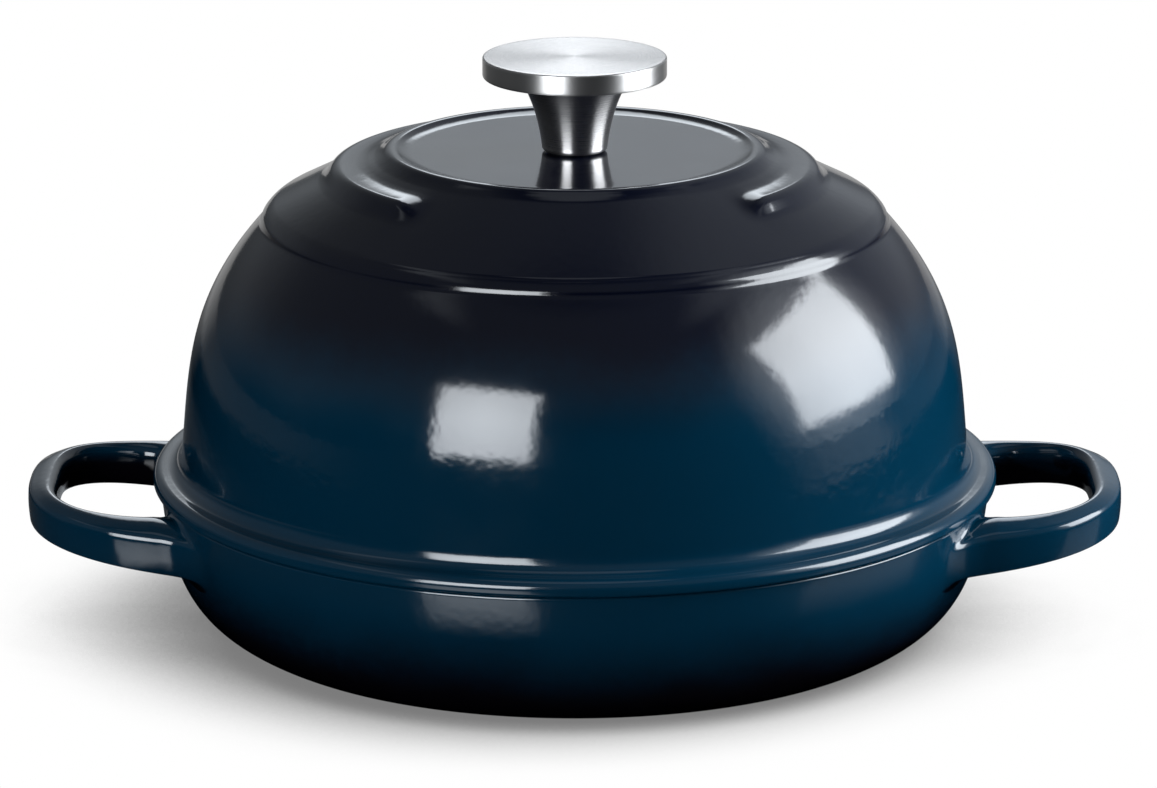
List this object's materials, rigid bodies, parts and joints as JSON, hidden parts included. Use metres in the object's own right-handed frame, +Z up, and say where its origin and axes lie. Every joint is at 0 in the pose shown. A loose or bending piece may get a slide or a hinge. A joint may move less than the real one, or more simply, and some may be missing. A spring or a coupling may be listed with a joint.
{
  "type": "cast iron bread oven",
  "caption": "Round enamelled cast iron bread oven: shallow pan with loop handles under a tall stepped dome lid that lifts off by a steel knob.",
  "frame": {"origin": "centre of the pan's flat underside", "axes": "+Z up along the axis of pan and lid, +X through the loop handles, front at -Y"},
  "size_m": [0.34, 0.262, 0.1797],
  "materials": {
    "pan_enamel": "glossy enamel, deep teal blue running to black",
    "lid_enamel": "glossy enamel, near black at the crown running to deep teal blue",
    "polished_steel": "polished stainless steel",
    "brushed_steel": "brushed stainless steel",
    "plain_steel": "plain steel"
  },
  "bodies": {
    "pan": {"base": "pan_enamel"},
    "lid": {"lid": "lid_enamel", "knob_stem": "polished_steel", "knob_cap": "brushed_steel", "knob_insert": "plain_steel"},
    "washers": {"flat_washer": "plain_steel", "spring_washer": "plain_steel"},
    "screw": {"knob_screw": "plain_steel"}
  },
  "joints": [
    {"name": "lid_lift", "type": "slide", "parent": "pan", "child": "lid", "axis": [0, 0, 1], "range_m": [0, 0.2]},
    {"name": "screw_travel", "type": "slide", "parent": "lid", "child": "washers", "axis": [0, 0, -1], "range_m": [0, 0.012]},
    {"name": "screw_turn", "type": "hinge", "parent": "washers", "child": "screw", "pos_m": [0, 0, 0.1407], "axis": [0, 0, -1], "range_deg": [0, 4330]}
  ],
  "couplings": [
    {"joint": "screw_turn", "follows": "screw_travel", "rad_per_m": 6283.2}
  ]
}
